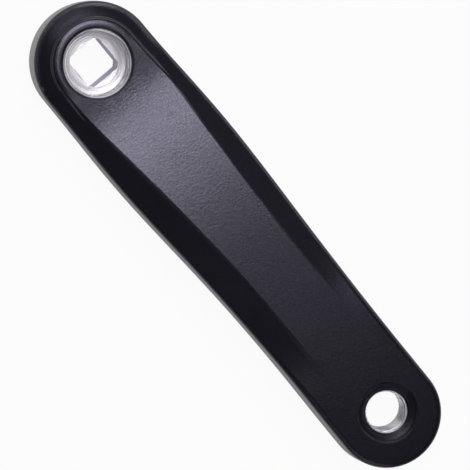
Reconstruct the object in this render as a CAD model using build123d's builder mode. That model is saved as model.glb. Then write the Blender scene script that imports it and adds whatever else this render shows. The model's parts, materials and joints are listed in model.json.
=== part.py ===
from build123d import *
import math
import os

# A bicycle crank arm, forged in one piece from aluminium alloy.
# The origin is on the axle's centre line, at the back face of the axle boss. +X runs along the arm to the
# pedal hole, +Z points outward, away from the bicycle.

# Plan of the arm, with its half widths at a quarter, a half and three quarters of the length
arm_length = 152.0
axle_end_radius = 20.4
pedal_end_radius = 19.0
pedal_end_overhang = 1.2
upper_half_widths = (21.5, 20.6, 19.3)
lower_half_widths = (20.8, 19.2, 18.5)

# Side view of the arm: the outer face rises from the axle boss and levels off at the pedal end
boss_height = 27.0
boss_back_radius = 18.0
boss_back_step = 2.0
boss_back_chamfer = 0.6
face_rise_start = 10.0
face_rise_end = 125.0
face_rise_angle = 7.5
face_rise_blend = 100.0
pedal_end_thickness = 13.0
pedal_end_back_length = 14.0
back_middle_share = 0.72
back_rise_start = 8.0

# Forging draft both ways from the parting plane, and the rounded rims
parting_height = 15.0
draft_angle = 3.0
outer_rim_radius = 2.0
back_bevel = 1.5

# Sloped flanks on both sides of the raised face: the distance of each ridge from the centre line where it
# leaves the ring and where it ends, and the stretch of the arm along which the slope fades out
flank_angle = 22.0
upper_ridge = (15.2, 11.7)
lower_ridge = (13.6, 8.6)
ridge_end = 98.0
ridge_curve = 1.6
upper_fade = (80.0, 124.0)
lower_fade = (92.0, 132.0)
upper_ridge_reach = 0.35
lower_ridge_reach = 0.8

# Cross-sections of the top: from the axle to the flanks, crowded towards the axle, and along the flanks
junction_sections = 6
junction_crowding = 1.5
flank_sections = 12

# Raised ring round the puller bore, with a domed shoulder outside it
ring_radius = 14.8
ring_edge_radius = 0.9
ring_wall_lean = 12.0
ring_height = 1.7
valley_radius = 0.9
shoulder_tilt = 15.0
shoulder_edge_tilt = 77.0
shoulder_overreach = 1.9

# Tapered square axle socket, with the puller bore in front of it
puller_bore_radius = 11.0
puller_bore_depth = 9.5
puller_mouth_radius = 12.3
puller_mouth_depth = 0.9
socket_width = 12.7
socket_taper = 2.0
socket_corner_diameter = 16.0

# Pedal hole, with a dished seat for the pedal's collar
pedal_thread_radius = 7.14
pedal_mouth_radius = 8.9
pedal_mouth_depth = 1.2
pedal_seat_radius = 9.7
pedal_seat_depth = 0.8
pedal_seat_lip = 0.8
pedal_back_chamfer = 0.8

# Room kept round the arm by the shapes that cut it
clear = 4.0

boss_face_slope = math.radians(face_rise_angle)
blend_end = face_rise_start + face_rise_blend * math.sin(boss_face_slope)
crown_radius = (face_rise_end - blend_end) / math.sin(boss_face_slope)
pedal_end_height = boss_height + (face_rise_blend + crown_radius) * (1 - math.cos(boss_face_slope))
pedal_back_height = pedal_end_height - pedal_end_thickness
pedal_centre = arm_length + pedal_end_overhang
shoulder_end = axle_end_radius + shoulder_overreach
widest = max(shoulder_end, pedal_end_radius, *upper_half_widths, *lower_half_widths) + clear
far_end = pedal_centre + pedal_end_radius + clear
flank_slope = math.tan(math.radians(flank_angle))
flanks_end = max(upper_fade[1], lower_fade[1])
level_start = flanks_end + clear
sky = pedal_end_height + 2 * clear


def face_height(x):
    """Height of the outer face at a distance x along the arm."""
    if x <= face_rise_start:
        return boss_height
    if x <= blend_end:
        return boss_height + face_rise_blend - math.sqrt(face_rise_blend**2 - (x - face_rise_start) ** 2)
    to_crown = max(face_rise_end - x, 0)
    return pedal_end_height - crown_radius + math.sqrt(crown_radius**2 - to_crown**2)


def eased(share):
    """Smooth step from 0 to 1, level at both ends."""
    share = min(max(share, 0.0), 1.0)
    return share * share * (3 - 2 * share)


def ridge_distance(x, ridge):
    """Distance of a ridge from the centre line. It leaves the ring and draws in along the arm."""
    wide, narrow = ridge
    drawn_length = ridge_end - blend_end
    if x >= blend_end:
        return narrow + (wide - narrow) * (max(ridge_end - x, 0) / drawn_length) ** ridge_curve
    # Hermite curve from the ring, level at the ring and in line with the ridge at its far end
    t = x / blend_end
    end_slope = -ridge_curve * (wide - narrow) / drawn_length
    return ring_radius + (wide - ring_radius) * eased(t) + end_slope * blend_end * t * t * (t - 1)


def ring_section():
    """Control points from the ring's top edge out to the domed shoulder, as (distance out, height)."""
    lean = math.radians(ring_wall_lean)
    tilt = math.radians(shoulder_tilt)
    edge_tilt = math.radians(shoulder_edge_tilt)
    down_wall = Vector(math.sin(lean), -math.cos(lean))
    down_shoulder = Vector(math.cos(tilt), -math.sin(tilt))
    edge_reach = ring_edge_radius * math.tan((math.pi / 2 - lean) / 2)
    valley_reach = valley_radius * math.tan((math.pi / 2 - lean - tilt) / 2)
    corner = Vector(ring_radius, 0)
    foot = corner + down_wall * (ring_height / math.cos(lean))
    valley_end = foot + down_shoulder * valley_reach
    dome_width = shoulder_end - valley_end.X
    dome_radius = dome_width / (math.sin(edge_tilt) - math.sin(tilt))
    dome_end = valley_end + Vector(dome_width, -dome_radius * (math.cos(tilt) - math.cos(edge_tilt)))
    return [
        corner - Vector(edge_reach, 0),
        corner,
        corner + down_wall * edge_reach,
        foot - down_wall * valley_reach,
        foot,
        valley_end,
        valley_end + down_shoulder * dome_radius * math.tan((edge_tilt - tilt) / 2),
        dome_end,
    ]


def flank_section(x, ridge, fade, ridge_reach):
    """The same control points rolled out straight along the flank, as (distance out, height)."""
    around_ring = ring_section()
    fading = eased((x - fade[0]) / (fade[1] - fade[0]))
    down_flank = Vector(1, -flank_slope * (1 - fading))
    corner = Vector(ridge_distance(x, ridge), 0)
    scale = ridge_reach / (around_ring[1] - around_ring[0]).length
    points = [corner - Vector(ridge_reach, 0), corner]
    for before, after in zip(around_ring[1:-2], around_ring[2:-1]):
        points.append(points[-1] + down_flank * scale * (after - before).length)
    points.append(corner + down_flank * (widest - corner.X))
    return points


def top_section(x, side, ridge, fade, ridge_reach):
    """Control points of one side of the arm's top at x: the ring's shape turns into the flank's."""
    share = eased(x / blend_end)
    pairs = zip(ring_section(), flank_section(x, ridge, fade, ridge_reach))
    blended = [around_ring * (1 - share) + along_flank * share for around_ring, along_flank in pairs]
    return [(side * point.X, face_height(x) + point.Y) for point in blended]


def plan_side(half_widths, side, inset):
    """One long side of the arm's outline, tangent to both round ends."""
    quarter = arm_length / 4
    middle_points = [(quarter * (i + 1), side * (w - inset)) for i, w in enumerate(half_widths)]
    axle_point = (0, side * (axle_end_radius - inset))
    pedal_point = (pedal_centre, side * (pedal_end_radius - inset))
    Spline(axle_point, *middle_points, pedal_point, tangents=[(1, 0), (1, 0)])


def shared_edges(faces, others):
    """Edges where the faces of one group meet those of another, in order along the arm."""
    return ShapeList(edge for edge in faces.edges() if edge in others.edges()).sort_by(Axis.X)


with BuildPart() as top_space:
    # Round the axle end: the ring, its leaning wall, the valley and the domed shoulder
    ring = [(point.X, boss_height + point.Y) for point in ring_section()]
    with BuildSketch(Plane.YZ):
        with BuildLine():
            Line((0, boss_height), ring[0])
            Bezier(*ring[0:3])
            Line(ring[2], ring[3])
            Bezier(*ring[3:6])
            Bezier(*ring[5:8])
            Polyline(ring[7], (ring[7][0], sky), (0, sky), (0, boss_height))
        make_face()
    revolve(axis=Axis.Z, revolution_arc=180)
    # Along the arm: the raised face between its two flanks, which fade out towards the pedal end
    junction_shares = [(i / junction_sections) ** junction_crowding for i in range(junction_sections)]
    junction_places = [blend_end * share for share in junction_shares]
    flank_step = (flanks_end - blend_end) / flank_sections
    flank_places = [blend_end + flank_step * i for i in range(flank_sections + 1)]
    for x in junction_places + flank_places + [level_start]:
        upper = top_section(x, 1, upper_ridge, upper_fade, upper_ridge_reach)
        lower = top_section(x, -1, lower_ridge, lower_fade, lower_ridge_reach)
        with BuildSketch(Plane.YZ.offset(x)):
            with BuildLine():
                Line(lower[0], upper[0])
                for edge in (upper, lower):
                    Bezier(*edge[0:3])
                    Line(edge[2], edge[3])
                    Bezier(*edge[3:6])
                    Bezier(*edge[5:8])
                Polyline(upper[7], (upper[7][0], sky), (lower[7][0], sky), lower[7])
            make_face()
    loft()
    # Level face of the pedal end
    with BuildSketch(Plane.XZ):
        with Locations(((level_start + far_end) / 2, (pedal_end_height + sky) / 2)):
            Rectangle(far_end - level_start, sky - pedal_end_height)
    extrude(amount=widest, both=True)


with BuildPart() as arm:
    # Forged outline: the walls bulge out to the parting plane and draw in both ways from it
    for height in (-clear, parting_height, pedal_end_height + clear):
        inset = abs(height - parting_height) * math.tan(math.radians(draft_angle))
        with BuildSketch(Plane.XY.offset(height)):
            with BuildLine():
                CenterArc((0, 0), axle_end_radius - inset, 90, 180)
                plan_side(lower_half_widths, -1, inset)
                CenterArc((pedal_centre, 0), pedal_end_radius - inset, -90, 180)
                plan_side(upper_half_widths, 1, inset)
            make_face()
    loft()

    # Back in the side view: level under the pedal end, drawn in along the arm, and behind the boss
    with BuildSketch(Plane.XZ):
        with BuildLine():
            back_start = (arm_length - pedal_end_back_length, pedal_back_height)
            back_middle = (arm_length / 2, pedal_back_height * back_middle_share)
            back_end = (back_rise_start, boss_back_step)
            Line((far_end, pedal_back_height), back_start)
            Spline(back_start, back_middle, back_end, tangents=[(-1, 0), (-1, 0)])
            above = [(-widest, boss_back_step), (-widest, sky), (far_end, sky), (far_end, pedal_back_height)]
            Polyline(back_end, *above)
        make_face()
    extrude(amount=widest, both=True, mode=Mode.INTERSECT)
    add(top_space.part, mode=Mode.SUBTRACT)

    # Rounded rim of the outer face, and bevelled rim of the back
    wall_tilt = 2 * math.sin(math.radians(draft_angle))
    walls = arm.faces().filter_by(lambda f: abs(f.normal_at().Z) < wall_tilt)
    outer_faces = arm.faces().filter_by(lambda f: f.normal_at().Z > wall_tilt)
    fillet(shared_edges(outer_faces, walls), radius=outer_rim_radius)
    walls = arm.faces().filter_by(lambda f: abs(f.normal_at().Z) < wall_tilt)
    backs = arm.faces().filter_by(lambda f: f.normal_at().Z < -wall_tilt)
    chamfer(shared_edges(backs, walls), length=back_bevel)

    # Flat boss at the back, which sits against the bottom bracket
    with BuildSketch(Plane.XY):
        Circle(boss_back_radius)
    extrude(amount=boss_back_step + clear)
    boss_rim = arm.faces().sort_by(Axis.Z)[0].edges()
    chamfer(boss_rim, length=boss_back_chamfer)

    # Puller bore with its chamfered mouth
    bore_floor = boss_height - puller_bore_depth
    with BuildSketch(Plane.XZ):
        with BuildLine():
            mouth = (puller_mouth_radius, boss_height)
            wall_top = (puller_bore_radius, boss_height - puller_mouth_depth)
            Polyline((0, sky), (puller_mouth_radius, sky), mouth, wall_top, (puller_bore_radius, bore_floor))
            Polyline((puller_bore_radius, bore_floor), (0, bore_floor), (0, sky))
        make_face()
    revolve(axis=Axis.Z, mode=Mode.SUBTRACT)

    # Square axle socket, wider towards the back
    for height in (-clear, bore_floor + clear):
        width = socket_width + 2 * (bore_floor - height) * math.tan(math.radians(socket_taper))
        with BuildSketch(Plane.XY.offset(height)):
            Rectangle(width, width)
            Circle(socket_corner_diameter / 2 * width / socket_width, mode=Mode.INTERSECT)
    loft(mode=Mode.SUBTRACT)

    # Pedal hole, dished at the front and chamfered at the back
    seat_floor = pedal_end_height - pedal_seat_depth
    mouth_floor = seat_floor - pedal_mouth_depth
    back_mouth_radius = pedal_thread_radius + pedal_back_chamfer
    lip_start = (pedal_seat_radius + pedal_seat_lip, pedal_end_height)
    lip_end = (pedal_seat_radius, seat_floor)
    with BuildSketch(Plane.XZ.move(Location((arm_length, 0, 0)))):
        with BuildLine():
            Polyline(
                (0, sky),
                (lip_start[0], sky),
                lip_start,
                lip_end,
                (pedal_mouth_radius, seat_floor),
                (pedal_thread_radius, mouth_floor),
                (pedal_thread_radius, pedal_back_height + pedal_back_chamfer),
                (back_mouth_radius, pedal_back_height),
                (back_mouth_radius, 0),
                (0, 0),
                (0, sky),
            )
        make_face()
    revolve(axis=Axis((arm_length, 0, 0), (0, 0, 1)), mode=Mode.SUBTRACT)

arm.part.label = "crank_arm"
os.makedirs("parts", exist_ok=True)
export_step(arm.part, "parts/crank_arm.step")
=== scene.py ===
import json
import math
import bpy
from mathutils import Matrix, Vector


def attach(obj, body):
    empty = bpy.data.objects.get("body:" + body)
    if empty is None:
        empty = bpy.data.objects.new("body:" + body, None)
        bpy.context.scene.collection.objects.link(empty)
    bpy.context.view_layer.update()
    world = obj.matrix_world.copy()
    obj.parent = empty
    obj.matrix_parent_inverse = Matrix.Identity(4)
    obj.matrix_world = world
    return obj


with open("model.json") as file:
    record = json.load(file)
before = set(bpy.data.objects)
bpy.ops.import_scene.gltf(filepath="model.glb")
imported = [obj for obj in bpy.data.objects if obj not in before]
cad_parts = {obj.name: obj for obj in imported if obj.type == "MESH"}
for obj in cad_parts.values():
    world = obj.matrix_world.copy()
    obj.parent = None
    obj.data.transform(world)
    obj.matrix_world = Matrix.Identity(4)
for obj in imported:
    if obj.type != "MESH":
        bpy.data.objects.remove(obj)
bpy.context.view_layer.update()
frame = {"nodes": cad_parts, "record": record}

# Forged arm: the crank arm itself, one forging of aluminium alloy with a fine-grained matt black finish.
# The puller bore, the axle socket and the pedal hole are cut after it is finished. Their walls are bare
# metal and show the marks of the tools. The seat round the pedal hole is cut before and is black as well.
arm = frame["nodes"]["crank_arm"]
mounts = {mount["name"]: mount for mount in frame["record"]["mounts"]}
pedal_x = mounts["pedal_thread"]["pos_m"][0]
puller_wall_radius = mounts["puller_thread"]["dims"]["r_mm"] / 1000
pedal_wall_radius = mounts["pedal_thread"]["dims"]["r_mm"] / 1000
puller_bore_floor = 0.0175
puller_floor_margin = 0.00005
bare_mouth_radius = 0.01135
socket_half_width = 0.00635
socket_taper = math.tan(math.radians(2.0))
socket_margin = 0.00006
pedal_hole_margin = 0.00015
pedal_seat_radius = 0.0106
ring_crest_radius = 0.0129
ring_crest_width = 0.002
ring_crest_drop = 0.0003
ring_side_blend = (0.006, -0.004)
floor_dish_start = 0.005
floor_dish_rise = 0.0010
axle_marks_radius = 0.0125
axle_rings_per_metre = 1500.0
pedal_rings_per_metre = 800.0
marks_height = 0.00030
grain_per_metre = 1600.0
grain_height = 0.00006
speckle_per_metre = 2300.0
patches_per_metre = 90.0

black_colour = (0.0042, 0.0038, 0.0070, 1.0)
black_sheen_tint = (0.82, 0.78, 1.0, 1.0)
black_roughness_range = (0.205, 0.255)
speckle_shine_range = (0.39, 0.81)
seat_roughness = 0.27
seat_lost_shine = 0.42
bare_colour = (0.68, 0.665, 0.71, 1.0)
bare_roughness = 0.34


def feed(tree, value, socket):
    """Link an input to another socket, or set it to a number or a colour."""
    if isinstance(value, bpy.types.NodeSocket):
        tree.links.new(value, socket)
    else:
        socket.default_value = value


def finish_node(tree, kind, place, **values):
    """One shader node, with its own settings and the values of its inputs."""
    made = tree.nodes.new(kind)
    made.location = place
    for name, value in values.items():
        if name in made.inputs:
            feed(tree, value, made.inputs[name])
        else:
            setattr(made, name, value)
    return made


def finish_math(tree, kind, place, *values):
    """What a math node of that kind makes of the values, each of them a socket or a number."""
    made = finish_node(tree, "ShaderNodeMath", place, operation=kind)
    for number, value in enumerate(values):
        feed(tree, value, made.inputs[number])
    return made.outputs[0]


def ramp(tree, place, value, start_and_end, low_and_high, interpolation="LINEAR"):
    """Runs from low to high while the value runs from start to end, and stays level outside."""
    made = finish_node(tree, "ShaderNodeMapRange", place, Value=value, interpolation_type=interpolation)
    for name, limit in zip(("From Min", "From Max", "To Min", "To Max"), (*start_and_end, *low_and_high)):
        made.inputs[name].default_value = limit
    return made.outputs[0]


def blend(tree, place, kind, share, first, second):
    """A number or a colour between two others, first where the share is 0 and second where it is 1."""
    made = finish_node(tree, "ShaderNodeMix", place, data_type=kind)
    first_input = {"FLOAT": 2, "RGBA": 6}[kind]
    result = {"FLOAT": 0, "RGBA": 2}[kind]
    feed(tree, share, made.inputs[0])
    feed(tree, first, made.inputs[first_input])
    feed(tree, second, made.inputs[first_input + 1])
    return made.outputs[result]


def grains(tree, place, surface_point, per_metre, detail, roughness):
    """An even grain in all directions."""
    made = finish_node(tree, "ShaderNodeTexNoise", place, Vector=surface_point, Scale=per_metre)
    made.inputs["Detail"].default_value = detail
    made.inputs["Roughness"].default_value = roughness
    return made.outputs["Fac"]


def relief(tree, place, height, distance, strength=1.0, below=None):
    """A surface normal tilted by a height, on top of the relief below it if there is one."""
    made = finish_node(tree, "ShaderNodeBump", place, Height=height, Distance=distance, Strength=strength)
    if below is not None:
        feed(tree, below, made.inputs["Normal"])
    return made.outputs["Normal"]


def distance_from(tree, place, x, y, centre_x):
    """Distance of a point from an upright axis at centre_x."""
    across = finish_math(tree, "SUBTRACT", place, x, centre_x)
    square_x = finish_math(tree, "MULTIPLY", place, across, across)
    square_y = finish_math(tree, "MULTIPLY", place, y, y)
    return finish_math(tree, "SQRT", place, finish_math(tree, "ADD", place, square_x, square_y))


def turned_rings(name):
    """A node group whose height follows uneven rings round an upright axis, as a turning tool cuts them."""
    group = bpy.data.node_groups.new(name, "ShaderNodeTree")
    for socket, way in (("Distance", "INPUT"), ("Rings", "INPUT"), ("Height", "OUTPUT")):
        group.interface.new_socket(socket, in_out=way, socket_type="NodeSocketFloat")
    given = finish_node(group, "NodeGroupInput", (-600, 0)).outputs
    along = finish_math(group, "MULTIPLY", (-400, 0), given["Distance"], given["Rings"])
    cut = finish_node(group, "ShaderNodeTexNoise", (-200, 0), noise_dimensions="1D", W=along)
    cut.inputs["Scale"].default_value = 1.0
    cut.inputs["Detail"].default_value = 3.0
    cut.inputs["Roughness"].default_value = 0.7
    finish_node(group, "NodeGroupOutput", (400, 0), Height=cut.outputs["Fac"])
    return group


turning_marks = turned_rings("turning_marks")


def bare_places(tree, x, y, z, from_axle, in_pedal_hole):
    """1 on the walls of the puller bore, on its floor, in the axle socket and in the pedal hole, else 0."""
    in_mouth = finish_math(tree, "LESS_THAN", (-1000, 300), from_axle, bare_mouth_radius)
    just_under_floor = puller_bore_floor - puller_floor_margin
    above_floor = finish_math(tree, "GREATER_THAN", (-1000, 250), z, just_under_floor)
    in_puller_bore = finish_math(tree, "MULTIPLY", (-900, 300), in_mouth, above_floor)
    widening = finish_math(tree, "MULTIPLY", (-1000, 100), z, -socket_taper)
    width_at_back = socket_half_width + puller_bore_floor * socket_taper + socket_margin
    half_width = finish_math(tree, "ADD", (-950, 100), widening, width_at_back)
    far_x = finish_math(tree, "ABSOLUTE", (-1000, 50), x)
    far_y = finish_math(tree, "ABSOLUTE", (-1000, 0), y)
    furthest = finish_math(tree, "MAXIMUM", (-950, 0), far_x, far_y)
    in_socket = finish_math(tree, "LESS_THAN", (-850, 50), furthest, half_width)
    at_axle = finish_math(tree, "MAXIMUM", (-800, 200), in_puller_bore, in_socket)
    return finish_math(tree, "MAXIMUM", (-700, 0), at_axle, in_pedal_hole)


def turned_places(tree, from_axle, from_pedal, near_pedal):
    """The height of the tool's rings on the puller bore's floor and mouth and on the pedal hole's seat."""
    axle_rings = finish_node(tree, "ShaderNodeGroup", (-1000, -900), node_tree=turning_marks)
    feed(tree, from_axle, axle_rings.inputs["Distance"])
    feed(tree, axle_rings_per_metre, axle_rings.inputs["Rings"])
    pedal_rings = finish_node(tree, "ShaderNodeGroup", (-1000, -1100), node_tree=turning_marks)
    feed(tree, from_pedal, pedal_rings.inputs["Distance"])
    feed(tree, pedal_rings_per_metre, pedal_rings.inputs["Rings"])
    near_axle = finish_math(tree, "LESS_THAN", (-1000, -1000), from_axle, axle_marks_radius)
    axle_cut = finish_math(tree, "MULTIPLY", (-800, -900), axle_rings.outputs["Height"], near_axle)
    pedal_cut = finish_math(tree, "MULTIPLY", (-800, -1100), pedal_rings.outputs["Height"], near_pedal)
    return finish_math(tree, "ADD", (-700, -1000), axle_cut, pedal_cut)


def soft_slopes(tree, x, from_axle):
    """The height of the ring's domed crest on its free side, and of the dish in the puller bore's floor."""
    crest_span = (ring_crest_radius, ring_crest_radius + ring_crest_width)
    crest = ramp(tree, (-900, -1300), from_axle, crest_span, (0.0, -ring_crest_drop), "SMOOTHSTEP")
    free_side = ramp(tree, (-900, -1500), x, ring_side_blend, (0.0, 1.0), "SMOOTHSTEP")
    crest_height = finish_math(tree, "MULTIPLY", (-700, -1300), crest, free_side)
    dish_span = (floor_dish_start, puller_wall_radius)
    dish = ramp(tree, (-900, -1700), from_axle, dish_span, (0.0, floor_dish_rise))
    return finish_math(tree, "ADD", (-600, -1300), crest_height, dish)


black = bpy.data.materials.new("black_finish")
black.use_nodes = True
tree = black.node_tree
shader = tree.nodes["Principled BSDF"]
surface_point = finish_node(tree, "ShaderNodeTexCoord", (-1600, 0)).outputs["Object"]
x, y, z = finish_node(tree, "ShaderNodeSeparateXYZ", (-1400, 0), Vector=surface_point).outputs
from_axle = distance_from(tree, (-1200, 200), x, y, 0.0)
from_pedal = distance_from(tree, (-1200, -200), x, y, pedal_x)
pedal_hole_edge = pedal_wall_radius + pedal_hole_margin
in_pedal_hole = finish_math(tree, "LESS_THAN", (-1000, -200), from_pedal, pedal_hole_edge)
near_pedal = finish_math(tree, "LESS_THAN", (-1000, -1200), from_pedal, pedal_seat_radius)
seat = finish_math(tree, "SUBTRACT", (-900, -400), near_pedal, in_pedal_hole)
bare = bare_places(tree, x, y, z, from_axle, in_pedal_hole)

grain = grains(tree, (-1200, -500), surface_point, grain_per_metre, 2.0, 0.6)
speckle = grains(tree, (-1200, -600), surface_point, speckle_per_metre, 2.0, 0.7)
patches = grains(tree, (-1200, -700), surface_point, patches_per_metre, 3.0, 0.5)
slope_relief = relief(tree, (-500, -800), soft_slopes(tree, x, from_axle), 1.0)
grain_relief = relief(tree, (-600, -500), grain, grain_height, 0.8, below=slope_relief)
marks = turned_places(tree, from_axle, from_pedal, near_pedal)
marks_relief = relief(tree, (-400, -500), marks, marks_height, below=grain_relief)

black_roughness = ramp(tree, (-900, -700), patches, (0.0, 1.0), black_roughness_range)
cut_roughness = blend(tree, (-600, -200), "FLOAT", seat, black_roughness, seat_roughness)
roughness = blend(tree, (-400, -100), "FLOAT", bare, cut_roughness, bare_roughness)
speckle_shine = ramp(tree, (-900, -600), speckle, (0.3, 0.7), speckle_shine_range)
seat_shine = finish_math(tree, "MULTIPLY_ADD", (-500, -300), seat, -seat_lost_shine, 1.0)
shine = finish_math(tree, "MULTIPLY", (-400, -300), speckle_shine, seat_shine)
colour = blend(tree, (-400, 200), "RGBA", bare, black_colour, bare_colour)
feed(tree, colour, shader.inputs["Base Color"])
feed(tree, bare, shader.inputs["Metallic"])
feed(tree, roughness, shader.inputs["Roughness"])
feed(tree, shine, shader.inputs["Specular IOR Level"])
feed(tree, black_sheen_tint, shader.inputs["Specular Tint"])
feed(tree, marks_relief, shader.inputs["Normal"])
arm.data.materials.clear()
arm.data.materials.append(black)

# Puller thread: the fine screw thread in the wall of the puller bore, 1 mm a turn, for the crank puller.
# It is cut into the arm's own bare aluminium. Its crests stand inward from the wall, and it fades out at
# the mouth and at the floor.
puller_pitch = 0.001
puller_thread_depth = 0.00045
puller_thread_low = 0.0177
puller_thread_high = 0.0260
dull_metal_colour = (0.80, 0.785, 0.82, 1.0)
bright_metal_colour = (0.95, 0.935, 0.96, 1.0)
thread_roughness_range = (0.19, 0.30)
chatter_per_metre = 700.0

bare_metal = bpy.data.materials.new("bare_metal")
bare_metal.use_nodes = True
tree = bare_metal.node_tree
shader = tree.nodes["Principled BSDF"]
surface_point = finish_node(tree, "ShaderNodeTexCoord", (-800, 0)).outputs["Object"]
chatter = grains(tree, (-600, 0), surface_point, chatter_per_metre, 3.0, 0.6)
thread_colour = blend(tree, (-300, 100), "RGBA", chatter, dull_metal_colour, bright_metal_colour)
thread_roughness = ramp(tree, (-300, -100), chatter, (0.0, 1.0), thread_roughness_range)
feed(tree, thread_colour, shader.inputs["Base Color"])
feed(tree, 1.0, shader.inputs["Metallic"])
feed(tree, thread_roughness, shader.inputs["Roughness"])


def screw_thread(name, centre_x, low, high, wall_radius, pitch, depth, hand):
    """A closed ring with a thread on its inner face. Hand is 1 for right-handed, -1 for left-handed."""
    turn_steps = 192
    pitch_steps = 12
    root_radius = wall_radius - 0.00001
    outer_radius = wall_radius + 0.00004
    flank_slope = 1.6
    root_share = 0.3
    rows = int(round((high - low) / pitch * pitch_steps))
    points = []

    def add_point(height, turn, radius):
        angle = 2 * math.pi * turn / turn_steps
        points.append((centre_x + radius * math.cos(angle), radius * math.sin(angle), height))

    for row in range(rows + 1):
        height = low + (high - low) * row / rows
        fade = min(1.0, (height - low) / pitch, (high - height) / pitch)
        for turn in range(turn_steps):
            phase = (height / pitch - hand * turn / turn_steps) % 1.0
            crest = flank_slope * (1.0 - abs(2.0 * phase - 1.0)) - root_share
            add_point(height, turn, root_radius - depth * fade * min(1.0, max(0.0, crest)))
    for height in (high, low):
        for turn in range(turn_steps):
            add_point(height, turn, outer_radius)
    circles = rows + 3
    faces = []
    for circle in range(circles):
        lower = circle * turn_steps
        upper = (circle + 1) % circles * turn_steps
        for turn in range(turn_steps):
            after = (turn + 1) % turn_steps
            faces.append((lower + turn, upper + turn, upper + after, lower + after))
    mesh = bpy.data.meshes.new(name)
    mesh.from_pydata(points, [], faces)
    mesh.polygons.foreach_set("use_smooth", [True] * len(mesh.polygons))
    piece = bpy.data.objects.new(name, mesh)
    bpy.context.collection.objects.link(piece)
    return piece


puller_thread = screw_thread(
    "puller_thread",
    0.0,
    puller_thread_low,
    puller_thread_high,
    puller_wall_radius,
    puller_pitch,
    puller_thread_depth,
    hand=1,
)
puller_thread.data.materials.append(bare_metal)
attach(puller_thread, "root")

# Pedal thread: a coarser screw thread right through the pedal hole, 20 turns an inch, for the pedal.
# It is cut into the arm's own bare aluminium. It is left-handed, as on a left arm, so that riding doesn't
# unscrew the pedal.
pedal_pitch = 0.00127
pedal_thread_depth = 0.00055
pedal_thread_low = 0.0224
pedal_thread_high = 0.0324
pedal_thread = screw_thread(
    "pedal_thread",
    pedal_x,
    pedal_thread_low,
    pedal_thread_high,
    pedal_wall_radius,
    pedal_pitch,
    pedal_thread_depth,
    hand=-1,
)
pedal_thread.data.materials.append(bare_metal)
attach(pedal_thread, "root")

# Floor: a plain sheet of white paper just under the back of the boss. It shows as white and keeps the
# arm's soft shadow.
floor_level = -0.0002
floor_reach = 3.0
paper_colour = (0.80, 0.80, 0.80, 1.0)
paper_roughness = 0.9
white_for_camera = 0.94
white_in_reflections = 0.22

floor_mesh = bpy.data.meshes.new("floor")
floor_sides = ((-1, -1), (1, -1), (1, 1), (-1, 1))
floor_corners = [(floor_reach * across, floor_reach * along, floor_level) for across, along in floor_sides]
floor_mesh.from_pydata(floor_corners, [], [(0, 1, 2, 3)])
floor = bpy.data.objects.new("floor", floor_mesh)
bpy.context.collection.objects.link(floor)
paper = bpy.data.materials.new("floor_paper")
paper.use_nodes = True
tree = paper.node_tree
shader = tree.nodes["Principled BSDF"]
feed(tree, paper_colour, shader.inputs["Base Color"])
feed(tree, paper_roughness, shader.inputs["Roughness"])
glow = finish_node(tree, "ShaderNodeEmission", (0, -300), Strength=1.0)
ray = finish_node(tree, "ShaderNodeLightPath", (-400, 300)).outputs
mirrored = finish_math(tree, "MAXIMUM", (-200, 200), ray["Is Glossy Ray"], ray["Is Transmission Ray"])
mirrored_share = finish_math(tree, "MULTIPLY", (-100, 200), mirrored, white_in_reflections)
camera_share = finish_math(tree, "MULTIPLY", (-200, 300), ray["Is Camera Ray"], white_for_camera)
white_share = finish_math(tree, "MAXIMUM", (0, 300), camera_share, mirrored_share)
paper_or_white = finish_node(tree, "ShaderNodeMixShader", (200, 0))
feed(tree, white_share, paper_or_white.inputs[0])
feed(tree, shader.outputs[0], paper_or_white.inputs[1])
feed(tree, glow.outputs[0], paper_or_white.inputs[2])
feed(tree, paper_or_white.outputs[0], tree.nodes["Material Output"].inputs["Surface"])
floor_mesh.materials.append(paper)

# Light: a large soft lamp overhead towards the axle end, two small ones close above the arm, faint ones on
# the sides, and low soft cards round the axle end, which brighten the edges that face them.
arm_middle = Vector((0.076, 0.0, 0.02))
room_light = 0.11


def soft_lamp(shape, name, azimuth, elevation, distance, width, height, watts):
    """A flat soft lamp that faces the arm's middle. Azimuth 0 is +X, 90 is +Y."""
    data = bpy.data.lights.new(name, "AREA")
    data.shape = shape
    data.size = width
    data.size_y = height
    data.energy = watts
    lamp = bpy.data.objects.new(name, data)
    bpy.context.collection.objects.link(lamp)
    turn = math.radians(azimuth)
    rise = math.radians(elevation)
    away = Vector((math.cos(rise) * math.cos(turn), math.cos(rise) * math.sin(turn), math.sin(rise)))
    lamp.location = arm_middle + away * distance
    lamp.rotation_euler = away.to_track_quat("Z", "Y").to_euler()


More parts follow.
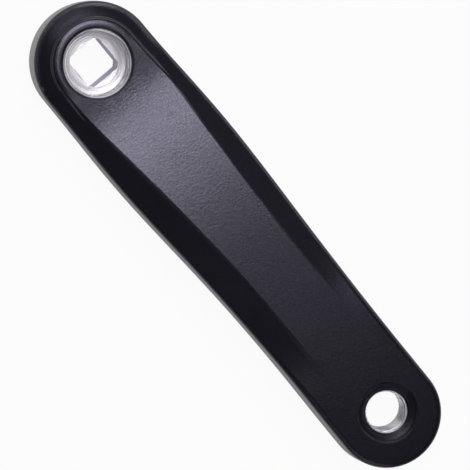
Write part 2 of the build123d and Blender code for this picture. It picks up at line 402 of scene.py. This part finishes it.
# Each lamp's shape and name, azimuth and elevation in degrees, distance, width, height and watts
for lamp in (
    ("ELLIPSE", "overhead", 145, 70.5, 1.5, 0.8, 0.7, 8.9),
    ("ELLIPSE", "close_overhead", 180, 76, 0.5, 0.18, 0.18, 0.21),
    ("ELLIPSE", "close_middle", 45, 77, 0.5, 0.22, 0.22, 0.07),
    ("ELLIPSE", "axle_side", 165, 42, 1.5, 1.2, 1.0, 2.0),
    ("RECTANGLE", "low_card_y", 90, 9, 1.5, 1.1, 0.5, 2.4),
    ("RECTANGLE", "low_card_corner", 135, 9, 1.5, 1.1, 0.5, 5.2),
    ("RECTANGLE", "low_card_axle", 180, 9, 1.5, 1.1, 0.5, 2.7),
    ("RECTANGLE", "low_card_back", 225, 9, 1.5, 1.1, 0.5, 1.3),
    ("ELLIPSE", "upper_side", 85, 46, 1.5, 1.0, 1.0, 0.22),
    ("ELLIPSE", "fill", 315, 32, 1.5, 1.2, 1.2, 1.9),
):
    soft_lamp(*lamp)

world = bpy.data.worlds.new("studio")
bpy.context.scene.world = world
world.use_nodes = True
tree = world.node_tree
room = tree.nodes["Background"]
room.inputs["Color"].default_value = (1, 1, 1, 1)
room.inputs["Strength"].default_value = room_light
backdrop = finish_node(tree, "ShaderNodeBackground", (-200, -200), Color=(1, 1, 1, 1), Strength=1.0)
ray = finish_node(tree, "ShaderNodeLightPath", (-400, 300)).outputs
room_or_white = finish_node(tree, "ShaderNodeMixShader", (100, 0))
feed(tree, ray["Is Camera Ray"], room_or_white.inputs[0])
feed(tree, room.outputs[0], room_or_white.inputs[1])
feed(tree, backdrop.outputs[0], room_or_white.inputs[2])
feed(tree, room_or_white.outputs[0], tree.nodes["World Output"].inputs["Surface"])

# Camera: high above the arm and a little to the axle side, looking down on its outer face.
# A long lens, with the axle end at the upper left of the picture and the pedal end at the lower right.
camera_place = Vector((-0.08254, -0.06556, 0.80179))
camera_target = Vector((0.07361, -0.00086, 0.025))
picture_up = Vector((-0.768, 0.640, 0.0))
picture_roll = 0.0067
lens_length = 182.6

forward = (camera_target - camera_place).normalized()
sideways = forward.cross(picture_up).normalized()
upward = sideways.cross(forward)
right = sideways * math.cos(picture_roll) + upward * math.sin(picture_roll)
up = upward * math.cos(picture_roll) - sideways * math.sin(picture_roll)
camera_data = bpy.data.cameras.new("camera")
camera_data.lens = lens_length
camera_data.sensor_width = 36.0
camera_data.clip_start = 0.01
camera_data.clip_end = 20.0
camera = bpy.data.objects.new("camera", camera_data)
bpy.context.collection.objects.link(camera)
camera.matrix_world = Matrix(
    (
        (right.x, up.x, -forward.x, camera_place.x),
        (right.y, up.y, -forward.y, camera_place.y),
        (right.z, up.z, -forward.z, camera_place.z),
        (0.0, 0.0, 0.0, 1.0),
    )
)
bpy.context.scene.camera = camera
bpy.context.scene.view_settings.view_transform = "Standard"
